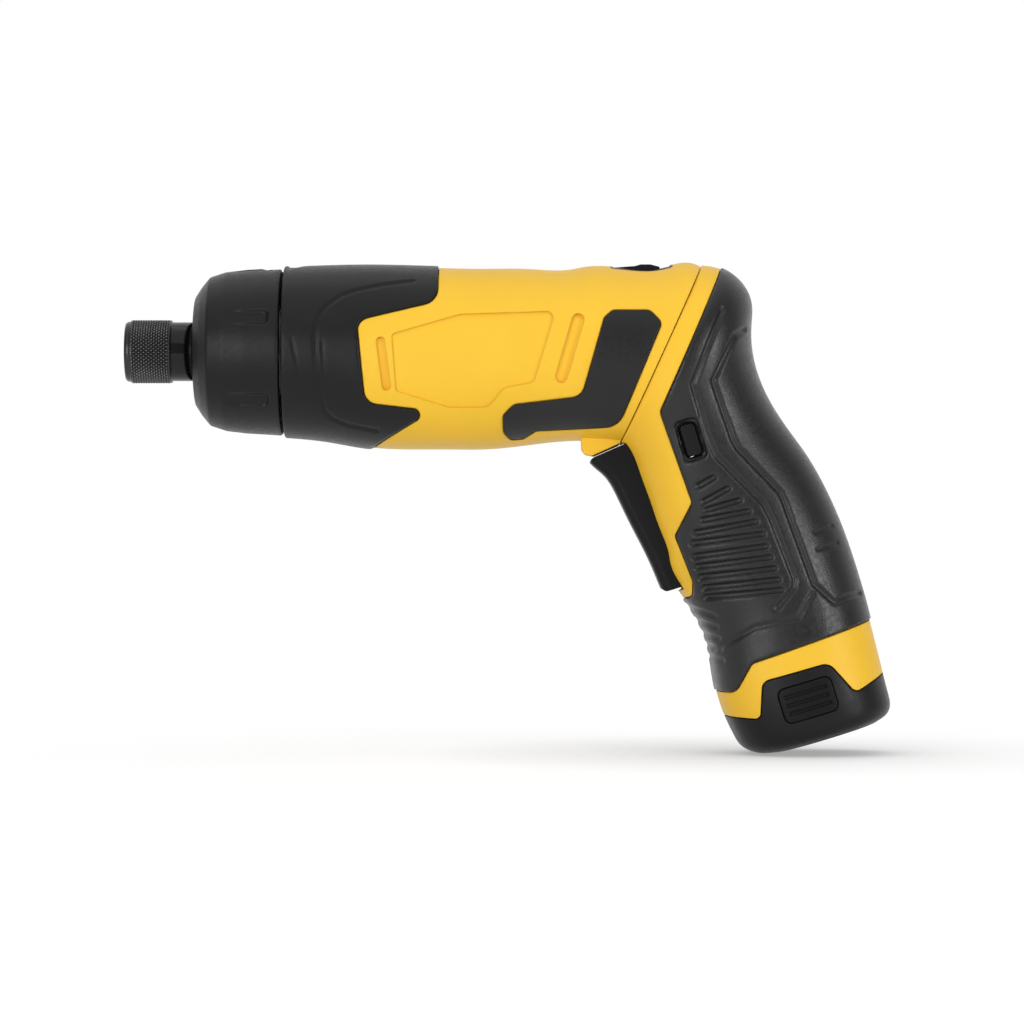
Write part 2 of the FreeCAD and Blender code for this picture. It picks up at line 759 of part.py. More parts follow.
def spindle():
    """The output spindle: bit socket, shaft and second-stage planet carrier in one turned piece."""
    shaft_end = ring_front + 0.5
    groove = sleeve_clip_front
    profile = [
        (0.8, 0),
        (0.8, spindle_nose_radius - 0.4),
        (1.2, spindle_nose_radius),
        (groove, spindle_nose_radius),
        (groove, spindle_nose_radius - 0.5),
        (groove + clip_thickness, spindle_nose_radius - 0.5),
        (groove + clip_thickness, spindle_nose_radius),
        (sleeve_length + 0.3, spindle_nose_radius),
        (sleeve_length + 0.3, spindle_shaft_radius),
        (shaft_end, spindle_shaft_radius),
        (shaft_end, carrier_radius),
        (shaft_end + carrier_thickness, carrier_radius),
        (shaft_end + carrier_thickness, 0),
    ]
    solid = turned(profile)
    cone = Part.makeCone(socket_across_flats / 2 + 0.9, socket_across_flats / 2, 1.2,
                         Vector(0.8, 0, 0), Vector(1, 0, 0))
    ball_hole = Part.makeCylinder(ball_radius + static_gap, 10, Vector(ball_x, 0, 0))
    journal = tube(shaft_end, shaft_end + 20, journal_radius + running_gap)
    tools = [hex_prism(socket_across_flats, 0, socket_depth), cone, ball_hole, journal]
    return solid.cut(tools + pin_holes(shaft_end))


def pin_places():
    """Angles of the three planets, the first one straight up."""
    return [120.0 * k for k in range(3)]


def polar(x, radius, angle):
    """A point at an angle round the output axis, counted from straight up."""
    a = math.radians(angle)
    return Vector(x, -radius * math.sin(a), radius * math.cos(a))


def pin_holes(x0):
    """Holes for the planet pins in a carrier plate."""
    places = [polar(x0, pin_circle, a) for a in pin_places()]
    depth = carrier_thickness + 2
    return [Part.makeCylinder(pin_radius + static_gap, depth, p, Vector(1, 0, 0)) for p in places]


def bit_sleeve():
    """The knurled quick-change sleeve, with the room for its spring and the ball's seat."""
    profile = [
        (0, clip_radius + 0.3),
        (0, sleeve_rim_radius - 0.6),
        (0.4, sleeve_rim_radius - 0.2),
        (1.3, sleeve_rim_radius),
        (1.5, sleeve_radius),
        (sleeve_knurl_length, sleeve_radius),
        (sleeve_knurl_length + 0.5, sleeve_neck_radius),
        (sleeve_length, sleeve_neck_radius),
        (sleeve_length, spindle_nose_radius + running_gap),
        (sleeve_shoulder, spindle_nose_radius + running_gap),
        (sleeve_shoulder, clip_radius + 0.3),
    ]
    return turned(profile)


def torque_collar():
    """The fluted ring that sets the torque, running on the gear case's boss."""
    rear = nose_front - collar_turn_gap
    bore = boss_radius + running_gap
    front = collar_front
    profile = [
        (collar_hub_front, bore),
        (collar_hub_front, collar_face_radius - 1.6),
        (front, collar_face_radius - 1.0),
        (front, collar_face_radius - 0.3),
        (front + 0.3, collar_face_radius + 0.3),
        (front + 1.8, collar_shoulder_radius - 2.4),
        (front + collar_shoulder_run, collar_shoulder_radius),
        (front + 7.8, collar_radius - 1.1),
        (front + 13.0, collar_radius - 0.5),
        (rear - 0.3, collar_radius),
        (rear, collar_radius - 0.3),
        (rear, collar_radius - collar_wall),
        (front + 8.0, collar_radius - collar_wall - 1.0),
        (front + 6.5, collar_shoulder_radius - collar_wall),
        (front + 6.5, bore + 2.2),
        (rear - 1.0, bore + 2.2),
        (rear - 1.0, bore),
    ]
    ring = turned(profile)
    flutes = []
    for k in range(collar_flutes):
        angle = 360.0 * k / collar_flutes + collar_rest_angle
        slot = Part.makeBox(collar_flute_length, collar_flute_width, 4.0,
                            Vector(0, -collar_flute_width / 2, 0))
        edges = [e for e in slot.Edges if abs(e.tangentAt(e.FirstParameter).z) > 0.99]
        slot = slot.makeFillet(1.2, edges)
        slot.translate(Vector(front + 3.6, 0, collar_radius - 0.75 - collar_flute_depth))
        slot.rotate(Vector(), Vector(1, 0, 0), angle)
        flutes.append(slot)
    return ring.cut(flutes)


def clip_ring(x, inner, outer):
    """A retaining ring with its opening, in a groove of the shaft it holds."""
    ring = tube(x, x + clip_thickness, outer, inner)
    return ring.cut(Part.makeBox(10, 2.6, 40, Vector(x - 1, -1.3, -40)))


def gear_case():
    """The front of the gearbox: the boss that carries the collar and the wall that closes the ring gear."""
    bore = bush_radius + static_gap
    groove = collar_clip_front
    profile = [
        (case_front, bore),
        (case_front, boss_radius),
        (groove, boss_radius),
        (groove, boss_radius - 0.6),
        (groove + clip_thickness, boss_radius - 0.6),
        (groove + clip_thickness, boss_radius),
        (nose_front + body_front_wall + 0.1, boss_radius),
        (nose_front + body_front_wall + 0.1, ring_outer_radius),
        (ring_front, ring_outer_radius),
        (ring_front, bore),
    ]
    return turned(profile)


def bush():
    """One plain bearing of the spindle, starting at the origin."""
    return tube(0, bush_length, bush_radius, spindle_shaft_radius + running_gap)


# Gearbox and motor


def flank(radius, base):
    """The angle an involute has turned through where it crosses a radius."""
    if radius <= base:
        return 0.0
    pressure = math.acos(base / radius)
    return math.tan(pressure) - pressure


def gear_face(teeth, tip, root, thickness):
    """A gear's outline in the plane across the output axis; a tooth points straight up."""
    pitch = gear_module * teeth / 2
    base = pitch * math.cos(math.radians(20))
    half = thickness / pitch / 2 + flank(pitch, base)
    radii = [tip + (root - tip) * k / 4 for k in range(5)]
    points = []
    for k in range(teeth):
        middle = 2 * math.pi * k / teeth
        side = [(r, half - flank(r, base)) for r in radii]
        for r, a in reversed(side):
            points.append((r, middle - a))
        for r, a in side:
            points.append((r, middle + a))
    vectors = [polar(0, r, math.degrees(a)) for r, a in points]
    return Part.Face(Part.makePolygon(vectors + vectors[:1]))


def gear(teeth, length):
    """An outside gear of the gearbox, starting at the origin."""
    pitch = gear_module * teeth / 2
    thickness = math.pi * gear_module / 2 - gear_backlash
    face = gear_face(teeth, pitch + gear_addendum, pitch - gear_dedendum, thickness)
    return face.extrude(Vector(length, 0, 0))


def ring_gear():
    """The fixed ring both planet stages run in; a tooth space faces the first planet."""
    pitch = gear_module * ring_teeth / 2
    thickness = math.pi * gear_module / 2 + gear_backlash
    face = gear_face(ring_teeth, pitch + gear_dedendum, pitch - gear_addendum, thickness)
    blank = tube(ring_front, ring_rear, ring_outer_radius)
    hole = face.extrude(Vector(ring_rear - ring_front, 0, 0))
    hole.translate(Vector(ring_front, 0, 0))
    return blank.cut(hole)


def planet():
    """One planet gear, starting at the origin."""
    return gear(planet_teeth, planet_length).cut(tube(0, planet_length, pin_radius + running_gap))


def planet_pin():
    """One planet's axle, starting at the origin."""
    return tube(0, pin_length, pin_radius)


def carrier():
    """The first stage's carrier, with the second stage's sun and the journals at both ends."""
    front = stage_two + planet_length + 0.7
    plate = tube(front, front + carrier_thickness, carrier_radius)
    sun = gear(sun_teeth, planet_length + 0.6)
    sun.translate(Vector(stage_two + 0.2, 0, 0))
    nose = tube(stage_two - 3.2, stage_two + 1, journal_radius)
    solid = plate.fuse([sun, nose]).removeSplitter()
    journal = tube(front - 3, front + 20, rotor_tip_radius + running_gap)
    return solid.cut([journal] + pin_holes(front))


def rotor():
    """The motor's shaft with its pinion, windings and commutator."""
    front = stage_one + 0.3
    pinion = gear(sun_teeth, planet_length + 0.4)
    pinion.translate(Vector(front, 0, 0))
    tip = tube(front - 3.6, front + 1, rotor_tip_radius)
    shaft = tube(front + planet_length, motor_rear - 0.2, rotor_shaft_radius)
    stack = tube(motor_front + 7, motor_front + 27, motor_radius - 3.4)
    slots = []
    for k in range(5):
        slot = Part.makeBox(30, 1.6, 6, Vector(motor_front + 5, -0.8, motor_radius - 8.4))
        slot.rotate(Vector(), Vector(1, 0, 0), 72 * k)
        slots.append(slot)
    commutator = tube(motor_front + 27, motor_front + 33, 4.2)
    return pinion.fuse([tip, shaft, stack.cut(slots), commutator]).removeSplitter()


def motor_can():
    """The motor's steel can, open at the back, with a seat for the front bush."""
    front = motor_front
    seat = motor_bush_radius + static_gap
    profile = [
        (front, seat),
        (front, motor_radius - 0.8),
        (front + 0.8, motor_radius),
        (motor_rear - 4, motor_radius),
        (motor_rear - 4, motor_radius - 1.2),
        (front + 2.4, motor_radius - 1.2),
        (front + 2.4, seat),
    ]
    return turned(profile)


def magnet():
    """One of the motor's two magnets, a curved plate inside the can."""
    ring = tube(motor_front + 5, motor_front + 29, motor_radius - 1.2 - static_gap, motor_radius - 3.0)
    return ring.common(Part.makeBox(60, 40, 40, Vector(motor_front, -20, 4.0)))


def motor_end_cap():
    """The plastic cap that closes the motor."""
    seat = motor_bush_radius + static_gap
    profile = [
        (motor_rear - 4 + static_gap, 6.0),
        (motor_rear - 4 + static_gap, motor_radius),
        (motor_rear, motor_radius),
        (motor_rear, seat),
        (motor_rear - 2.4, seat),
        (motor_rear - 2.4, 6.0),
    ]
    return turned(profile)


def motor_bush():
    """One of the rotor's two bushes, starting at the origin."""
    return tube(0, 2.4, motor_bush_radius, rotor_shaft_radius + running_gap)


# Twist joint


def pivot_ring():
    """The hollow ring that holds the body and the handle together and lets the wires through."""
    front = -body_end_wall - static_gap
    rear = twist_gap + handle_end_wall + axial_play
    solid = Part.makeCylinder(pivot_ring_radius, rear - front, Vector(0, 0, front))
    for z in (front - pivot_flange_thickness, rear):
        solid = solid.fuse(Part.makeCylinder(pivot_flange_radius, pivot_flange_thickness, Vector(0, 0, z)))
    bore = Part.makeCylinder(pivot_ring_bore, 40, Vector(0, 0, -20))
    return on_twist_axis(solid.removeSplitter().cut(bore))


def lock_button():
    """The twist-lock slider on top of the body, drawn back from the handle."""
    front = lock_slot_front + lock_frame + 0.2
    outline = [
        (front, 15.0, 0),
        (front, 20.8, 0.4),
        (front + 5.4, 21.2, 1.0),
        (front + 6.7, lock_top, 0.8),
        (front + 9.2, lock_top, 0.8),
        (front + 11.5, 21.0, 0.4),
        (front + 11.5, 15.0, 0),
    ]
    thumb = side_prism(outline, 0, lock_opening_half_width - slide_gap)
    foot = Part.makeBox(9.5, 2 * lock_half_width + 2.2, 1.3,
                        Vector(front, -lock_half_width - 1.1, bolt_bottom))
    seam_x = TWIST.Base.x + (bolt_bottom - TWIST.Base.z) * math.tan(math.radians(twist_tilt))
    bolt = lock_bolt(front + 4, seam_x - 0.3)
    return thumb.fuse([foot, bolt]).removeSplitter()


# Trigger group


def trigger_section(down, front):
    """The trigger's cross-section: flat flanks and a front with rounded edges."""
    y = trigger_half_width
    r = trigger_edge_round
    turn = r * (1 - math.sqrt(0.5))
    corner = Vector(front + turn, y - turn, -down)
    points = [Vector(12, y, -down), Vector(front + r, y, -down), Vector(front, y - r, -down)]
    other = [Vector(p.x, -p.y, p.z) for p in points]
    edges = [
        Part.LineSegment(points[0], points[1]).toShape(),
        Part.Arc(points[1], corner, points[2]).toShape(),
        Part.LineSegment(points[2], other[2]).toShape(),
        Part.Arc(other[2], Vector(corner.x, -corner.y, corner.z), other[1]).toShape(),
        Part.LineSegment(other[1], other[0]).toShape(),
        Part.LineSegment(other[0], points[0]).toShape(),
    ]
    return Part.Wire(edges)


def trigger():
    """The trigger with its stop flange and the plunger that works the switch."""
    fronts = ((-3.0, -9.55), (0.2, -9.05), (1.8, -8.3), (3.6, -7.45), (6.0, -6.8), (10.2, -6.45),
              (20.0, -6.0), (33.0, -5.6), (39.0, -5.4))
    lever = Part.makeLoft([trigger_section(down, front) for down, front in fronts], True, False)
    outline = [
        (-9.6, -3.0, 0),
        (-9.6, -32.5, 0),
        (-6.0, -34.8, 1.5),
        (-4.9, -trigger_length + 0.5, 1.2),
        (-0.5, -trigger_length, 0.3),
        (-0.5, -32.6, 0),
        (6.9, -32.6, 0),
        (6.9, -5.4, 0),
        (1.6, -5.4, 0),
        (1.6, trigger_top, 0.3),
        (-9.6, trigger_top, 1.9),
    ]
    lever = lever.common(side_prism(outline, 0, trigger_half_width + 1))
    flange = Part.makeBox(2.1, 18, 18, Vector(6.9, -9, -29))
    plunger = Part.makeCylinder(plunger_radius, 10.5, Vector(9.0, 0, -switch_axis), Vector(1, 0, 0))
    return at_trigger(lever.fuse([flange, plunger]).removeSplitter())


def switch_box():
    """The speed switch behind the trigger, with the hole its plunger enters."""
    box = Part.makeBox(switch_depth, 2 * switch_half_width, switch_height,
                       Vector(switch_inward, -switch_half_width, -switch_top - switch_height))
    hole = Part.makeCylinder(plunger_radius + 0.3, 7, Vector(switch_inward, 0, -switch_axis), Vector(1, 0, 0))
    return at_trigger(box.cut(hole))


def trigger_spring():
    """The spring that pushes the trigger out."""
    length = switch_inward - 9.0
    spring = coil(plunger_radius + 1.2, 0.35, length, 6)
    spring.Placement = Placement(Vector(9.0, 0, -switch_axis), Rotation(Vector(0, 1, 0), 90))
    return at_trigger(spring)


def direction_button():
    """The push-through direction button; both ends follow the handle's flanks."""
    return side_prism(button_corners()).common(handle_core(button_sink))


def contact_block():
    """The block in the handle that the battery's contacts meet."""
    block = Part.makeBox(14, 2 * contact_half_width, 4, Vector(-5, -contact_half_width, stick_top + 1.4))
    return in_handle(block)


def terminal():
    """One sprung terminal between the contact block and the battery, standing on the origin."""
    return Part.makeBox(3.0, 5.0, 1.2, Vector(-1.5, -2.5, 0))


def sleeve_spring():
    """The spring that pushes the bit sleeve back."""
    start = sleeve_clip_front + clip_thickness
    spring = coil((spindle_nose_radius + clip_radius + 0.3) / 2, 0.3, sleeve_shoulder - start, 5)
    spring.Placement = Placement(Vector(start, 0, 0), Rotation(Vector(0, 1, 0), 90))
    return spring


def latch_spring():
    """The spring behind the right-hand latch."""
    length = latch_spring_seat - latch_pocket_floor
    spring = coil(1.9, 0.25, length, 5)
    middle = Vector(latch_x + latch_length / 2, latch_pocket_floor, latch_z + latch_height / 2)
    spring.Placement = Placement(middle, Rotation(Vector(1, 0, 0), -90))
    return in_handle(spring)


def housing_screw():
    """One housing screw with a crosshead, its seat at the origin and its shank along -Y."""
    head = Part.makeCylinder(screw_head_radius, 1.8, Vector(), SIDE)
    head = head.makeFillet(0.6, [e for e in head.Edges if e.BoundBox.YMin > 1.7])
    shank = Part.makeCylinder(screw_shank_radius, screw_length, Vector(0, -screw_length, 0), SIDE)
    cross = [Part.makeBox(3.2, 1.4, 0.8, Vector(-1.6, 0.9, -0.4)),
             Part.makeBox(0.8, 1.4, 3.2, Vector(-0.4, 0.9, -1.6))]
    return head.fuse(shank).removeSplitter().cut(cross)


def mirrored(shape):
    """The same piece for the other flank."""
    return shape.mirror(Vector(), SIDE)


def solid_of(shape):
    """The one solid of a result, without the compound round it."""
    return max(shape.Solids, key=lambda s: s.Volume)


def moved(shape, place):
    """A copy of a piece that was made at the origin, put in its place."""
    copy = shape.copy()
    copy.translate(place)
    return copy


def together(shapes):
    """Identical pieces that never move apart, kept as one node."""
    return Part.makeCompound([solid_of(s) for s in shapes])


def output_nodes():
    """The bit sleeve, the spindle and the torque collar with what holds them."""
    bushes = [moved(bush(), Vector(x, 0, 0)) for x in (case_front + 0.6, ring_front - bush_length)]
    return {
        "bit_sleeve": bit_sleeve(),
        "sleeve_spring": sleeve_spring(),
        "sleeve_clip": clip_ring(sleeve_clip_front, spindle_nose_radius - 0.5 + static_gap, clip_radius),
        "bit_ball": Part.makeSphere(ball_radius, Vector(ball_x, 0, ball_height)),
        "spindle": spindle(),
        "torque_collar": torque_collar(),
        "collar_clip": clip_ring(collar_clip_front, boss_radius - 0.6 + static_gap, boss_radius + 1.4),
        "gear_case": gear_case(),
        "spindle_bushes": together(bushes),
    }


def drive_nodes():
    """The gearbox's two planet stages and the motor."""
    nodes = {"ring_gear": ring_gear(), "carrier": carrier(), "rotor": rotor()}
    wheel = planet()
    pin = planet_pin()
    for stage, front, plate in (("a", stage_one, stage_one - 0.4 - carrier_thickness),
                                ("b", stage_two, stage_two - 0.4 - carrier_thickness)):
        pins = []
        for k, angle in enumerate(pin_places()):
            turned_wheel = wheel.copy()
            turned_wheel.rotate(Vector(), Vector(1, 0, 0), angle)
            nodes["planet_" + stage + str(k + 1)] = moved(turned_wheel, polar(front, pin_circle, angle))
            pins.append(moved(pin, polar(plate + 0.05, pin_circle, angle)))
        nodes["planet_pins_" + stage] = together(pins)
    bushes = [moved(motor_bush(), Vector(x, 0, 0)) for x in (motor_front, motor_rear - 2.4)]
    lower = magnet()
    lower.rotate(Vector(), Vector(1, 0, 0), 180)
    nodes["motor_can"] = motor_can()
    nodes["magnets"] = together([magnet(), lower])
    nodes["motor_end_cap"] = motor_end_cap()
    nodes["motor_bushes"] = together(bushes)
    return nodes


def body_nodes():
    """The body's halves, its trims and the twist lock."""
    left, right = left_and_right(body_shell())
    pad_left, pad_right = side_pads()
    screws = [moved(housing_screw(), Vector(x, screw_seat, z)) for x, z in body_screws]
    return {
        "body_left": left,
        "body_right": right,
        "nose_cover": nose_cover(),
        "side_pad_left": pad_left,
        "side_pad_right": pad_right,
        "lock_bezel": lock_bezel(),
        "lock_button": lock_button(),
        "pivot_ring": pivot_ring(),
        "body_screws": together(screws),
    }


def handle_nodes():
    """The handle's halves, its grip and what works inside it."""
    left, right = left_and_right(handle_shell())
    grip_left, grip_right = grips()
    screws = [moved(housing_screw(), Vector(x, screw_seat, z)) for x, z in handle_screws]
    terminals = [in_handle(moved(terminal(), Vector(2, y, stick_top + 0.1))) for y in (-5, 5)]
    return {
        "handle_left": left,
        "handle_right": right,
        "grip_left": grip_left,
        "grip_right": grip_right,
        "handle_screws": together(screws),
        "trigger": trigger(),
        "trigger_spring": trigger_spring(),
        "switch_box": switch_box(),
        "direction_button": direction_button(),
        "contact_block": contact_block(),
        "terminals": together(terminals),
    }


def battery_nodes():
    """The battery with its cells and latches."""
    right_latch = latch()
    right_spring = latch_spring()
    cells = [in_handle(moved(cell(), Vector(x, 0, cell_bottom))) for x in (-cell_pitch / 2, cell_pitch / 2)]
    return {
        "battery_shell": battery_shell(),
        "battery_cap": battery_cap(),
        "cells": together(cells),
        "latch_left": mirrored(right_latch),
        "latch_right": right_latch,
        "latch_spring_left": mirrored(right_spring),
        "latch_spring_right": right_spring,
    }


def main():
    """Makes every node and writes it to its own file."""
    os.makedirs("parts", exist_ok=True)
    groups = (output_nodes(), drive_nodes(), body_nodes(), handle_nodes(), battery_nodes())
    shared = ("spindle_bushes", "magnets", "motor_bushes", "planet_pins_a", "planet_pins_b", "body_screws",
              "handle_screws", "terminals", "cells")
    for nodes in groups:
        for name, shape in nodes.items():
            piece = shape if name in shared else solid_of(shape)
            piece.exportStep("parts/" + name + ".step")


main()
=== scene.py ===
"""The looks of the cordless screwdriver: materials, small moulded details, light and camera."""
import json
import math

import bmesh
import bpy
import numpy as np
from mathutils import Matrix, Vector


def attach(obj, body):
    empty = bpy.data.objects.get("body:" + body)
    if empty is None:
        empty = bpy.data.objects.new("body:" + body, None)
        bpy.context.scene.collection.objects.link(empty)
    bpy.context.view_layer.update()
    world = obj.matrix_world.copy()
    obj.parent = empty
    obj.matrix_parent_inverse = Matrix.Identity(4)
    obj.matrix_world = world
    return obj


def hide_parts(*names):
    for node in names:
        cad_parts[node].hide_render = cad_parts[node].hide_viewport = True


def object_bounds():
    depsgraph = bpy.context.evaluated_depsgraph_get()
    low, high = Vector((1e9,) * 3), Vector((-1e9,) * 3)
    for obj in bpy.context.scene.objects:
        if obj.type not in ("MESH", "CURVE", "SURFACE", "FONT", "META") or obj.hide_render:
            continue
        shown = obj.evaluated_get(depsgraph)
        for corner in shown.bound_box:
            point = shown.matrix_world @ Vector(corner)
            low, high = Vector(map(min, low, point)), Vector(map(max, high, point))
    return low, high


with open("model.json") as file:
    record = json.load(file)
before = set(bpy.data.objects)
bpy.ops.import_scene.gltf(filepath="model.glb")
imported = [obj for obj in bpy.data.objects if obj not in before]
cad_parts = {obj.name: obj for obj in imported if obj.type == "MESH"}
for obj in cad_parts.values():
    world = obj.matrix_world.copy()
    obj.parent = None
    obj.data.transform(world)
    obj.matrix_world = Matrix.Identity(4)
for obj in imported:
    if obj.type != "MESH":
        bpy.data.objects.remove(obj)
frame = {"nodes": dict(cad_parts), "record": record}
CAD_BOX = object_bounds()
NODES = frame["nodes"]
MM = 0.001

# The shell shows only in a gap in front of COLLAR_GAP_END and inside the direction button's room; there its
# colour is painted black, a painted shade for the dark gaps.
COLLAR_GAP_END = (40.8 * MM, 41.2 * MM)
BUTTON_PLACE = (140.3 * MM, 0, -22.5 * MM)
BUTTON_TILT = math.radians(-13)
BUTTON_ROOM = (3.4 * MM, 1, 5.6 * MM)
BUTTON_EDGE = (0.98, 1.0)
# Painted shade: the black put on the shell in those gaps.
GAP_PAINTED_SHADE = (0.004, 0.004, 0.004, 1)
# The knurl is black at the bottom of its cuts and worn bright on its tips.
KNURL_RADII = (7.45 * MM, 7.9 * MM)
KNURL_TONES = (0.006, 0.15)
# Noise above and below these factors takes the end tones of a ramp.
NOISE_LOW = 0.3
NOISE_HIGH = 0.7


# Materials


def new_material(name, colour, roughness, **sockets):
    """A Principled material; further sockets are given by name, with _ for a space."""
    material = bpy.data.materials.new(name)
    material.use_nodes = True
    shader = material.node_tree.nodes["Principled BSDF"]
    shader.inputs["Base Color"].default_value = (*colour, 1)
    shader.inputs["Roughness"].default_value = roughness
    for key, value in sockets.items():
        shader.inputs[key.replace("_", " ")].default_value = value
    return material, material.node_tree.nodes, material.node_tree.links, shader


def noise(nodes, links, scale, detail=4.0):
    """A noise texture in the part's own frame, so that its grain has a real size."""
    place = nodes.new("ShaderNodeTexCoord")
    texture = nodes.new("ShaderNodeTexNoise")
    texture.inputs["Scale"].default_value = scale
    texture.inputs["Detail"].default_value = detail
    links.new(place.outputs["Object"], texture.inputs["Vector"])
    return texture


def ramp(nodes, links, source, stops):
    """A colour ramp from a texture's factor; stops are (position, value or colour)."""
    node = nodes.new("ShaderNodeValToRGB")
    while len(node.color_ramp.elements) < len(stops):
        node.color_ramp.elements.new(0.5)
    for element, (position, value) in zip(node.color_ramp.elements, stops):
        element.position = position
        element.color = (*value, 1) if isinstance(value, tuple) else (value, value, value, 1)
    links.new(source, node.inputs["Fac"])
    return node.outputs["Color"]


def spread(nodes, links, value, start, end, low, high, manner="LINEAR"):
    """A value mapped from one range to another."""
    node = nodes.new("ShaderNodeMapRange")
    node.interpolation_type = manner
    links.new(value, node.inputs["Value"])
    for key, number in (("From Min", start), ("From Max", end), ("To Min", low), ("To Max", high)):
        node.inputs[key].default_value = number
    return node.outputs["Result"]


def larger(nodes, links, first, second):
    """The larger of two values."""
    node = nodes.new("ShaderNodeMath")
    node.operation = "MAXIMUM"
    links.new(first, node.inputs[0])
    links.new(second, node.inputs[1])
    return node.outputs[0]


def product(nodes, links, first, second):
    """Two values multiplied."""
    node = nodes.new("ShaderNodeMath")
    node.operation = "MULTIPLY"
    links.new(first, node.inputs[0])
    links.new(second, node.inputs[1])
    return node.outputs[0]


def grain(nodes, links, shader, scale, strength, distance, edge=0.0):
    """Moulded grain as a bump, with slightly rounded edges under it."""
    bump = nodes.new("ShaderNodeBump")
    bump.inputs["Strength"].default_value = strength
    bump.inputs["Distance"].default_value = distance
    links.new(noise(nodes, links, scale).outputs["Fac"], bump.inputs["Height"])
    if edge:
        bevel = nodes.new("ShaderNodeBevel")
        bevel.samples = 6
        bevel.inputs["Radius"].default_value = edge
        links.new(bevel.outputs["Normal"], bump.inputs["Normal"])
    links.new(bump.outputs["Normal"], shader.inputs["Normal"])


def vary(nodes, links, texture, low, high, socket):
    """Feeds a socket from a noise texture, between two tones or values."""
    stops = ((NOISE_LOW, low), (NOISE_HIGH, high))
    links.new(ramp(nodes, links, texture.outputs["Fac"], stops), socket)


def plastic(name, colour, shade, roughness, uneven, scale, strength, distance, edge, specular=0.22):
    """Moulded plastic or rubber: two close tones, uneven gloss and a fine grain."""
    material, nodes, links, shader = new_material(name, colour, roughness, Specular_IOR_Level=specular)
    tone = noise(nodes, links, 60, 3)
    vary(nodes, links, tone, shade, colour, shader.inputs["Base Color"])
    gloss = noise(nodes, links, 900, 5)
    vary(nodes, links, gloss, roughness - uneven, roughness + uneven, shader.inputs["Roughness"])
    grain(nodes, links, shader, scale, strength, distance, edge)
    return material


def metal(name, colour, roughness, uneven, scale):
    """Machined metal with fine streaks in its gloss."""
    material, nodes, links, shader = new_material(name, colour, roughness, Metallic=1.0)
    streaks = noise(nodes, links, scale, 6)
    vary(nodes, links, streaks, roughness - uneven, roughness + uneven, shader.inputs["Roughness"])
    grain(nodes, links, shader, scale * 2, 0.05, 0.00005, 0.0002)
    return material


yellow = plastic("yellow_shell", (0.91, 0.545, 0.038), (0.88, 0.525, 0.035),
                 0.42, 0.05, 2600, 0.16, 0.00006, 0.0005)
rubber = plastic("soft_grip", (0.011, 0.011, 0.0115), (0.008, 0.008, 0.0085),
                 0.40, 0.07, 2200, 0.35, 0.00010, 0.0006, 0.32)
bulges = plastic("grip_rubber", (0.010, 0.010, 0.0105), (0.007, 0.007, 0.0075),
                 0.34, 0.07, 2200, 0.35, 0.00010, 0.0006, 0.42)
black = plastic("black_plastic", (0.008, 0.008, 0.0085), (0.006, 0.006, 0.0065),
                0.38, 0.06, 2400, 0.25, 0.00008, 0.0005, 0.22)
hard = plastic("hard_black", (0.008, 0.008, 0.0085), (0.006, 0.006, 0.0065),
               0.40, 0.06, 2400, 0.15, 0.00006, 0.0006, 0.14)
polish = plastic("polished_black", (0.003, 0.003, 0.003), (0.0025, 0.0025, 0.0025),
                 0.14, 0.02, 900, 0.02, 0.00002, 0.0002, 0.3)
inner = plastic("inner_plastic", (0.14, 0.14, 0.15), (0.12, 0.12, 0.13),
                0.5, 0.05, 1500, 0.1, 0.00005, 0.0002)
wrap = plastic("cell_wrap", (0.05, 0.22, 0.13), (0.045, 0.2, 0.12),
               0.3, 0.04, 1500, 0.05, 0.00003, 0.0002)
oxide = metal("black_oxide", (0.050, 0.050, 0.052), 0.30, 0.08, 3000)
knurled = metal("knurled_oxide", (0.050, 0.050, 0.052), 0.30, 0.08, 3000)
steel = metal("steel", (0.62, 0.62, 0.63), 0.28, 0.06, 2500)
bronze = metal("bearing_bronze", (0.60, 0.40, 0.20), 0.35, 0.06, 2500)
alloy = metal("gear_case_alloy", (0.52, 0.52, 0.54), 0.45, 0.06, 2000)


def paint_gap_shade(material):
    """Painted shade: black where the shell shows only in a gap, behind the collar and round the direction
    button.
    """
    nodes, links = material.node_tree.nodes, material.node_tree.links
    shader = nodes["Principled BSDF"]
    colour = shader.inputs["Base Color"].links[0].from_socket
    place = nodes.new("ShaderNodeTexCoord")
    split = nodes.new("ShaderNodeSeparateXYZ")
    links.new(place.outputs["Object"], split.inputs[0])
    front = spread(nodes, links, split.outputs["X"], *COLLAR_GAP_END, 0.0, 1.0)
    button = nodes.new("ShaderNodeMapping")
    button.vector_type = "TEXTURE"
    button.inputs["Location"].default_value = BUTTON_PLACE
    button.inputs["Rotation"].default_value = (0, BUTTON_TILT, 0)
    button.inputs["Scale"].default_value = BUTTON_ROOM
    links.new(place.outputs["Object"], button.inputs["Vector"])
    size = nodes.new("ShaderNodeVectorMath")
    size.operation = "ABSOLUTE"
    links.new(button.outputs["Vector"], size.inputs[0])
    parts = nodes.new("ShaderNodeSeparateXYZ")
    links.new(size.outputs["Vector"], parts.inputs[0])
    outside = larger(nodes, links, parts.outputs["X"], parts.outputs["Z"])
    outside = spread(nodes, links, outside, *BUTTON_EDGE, 0.0, 1.0)
    mix = nodes.new("ShaderNodeMix")
    mix.data_type = "RGBA"
    mix.inputs["A"].default_value = GAP_PAINTED_SHADE
    links.new(product(nodes, links, front, outside), mix.inputs["Factor"])
    links.new(colour, mix.inputs["B"])
    links.new(mix.outputs["Result"], shader.inputs["Base Color"])


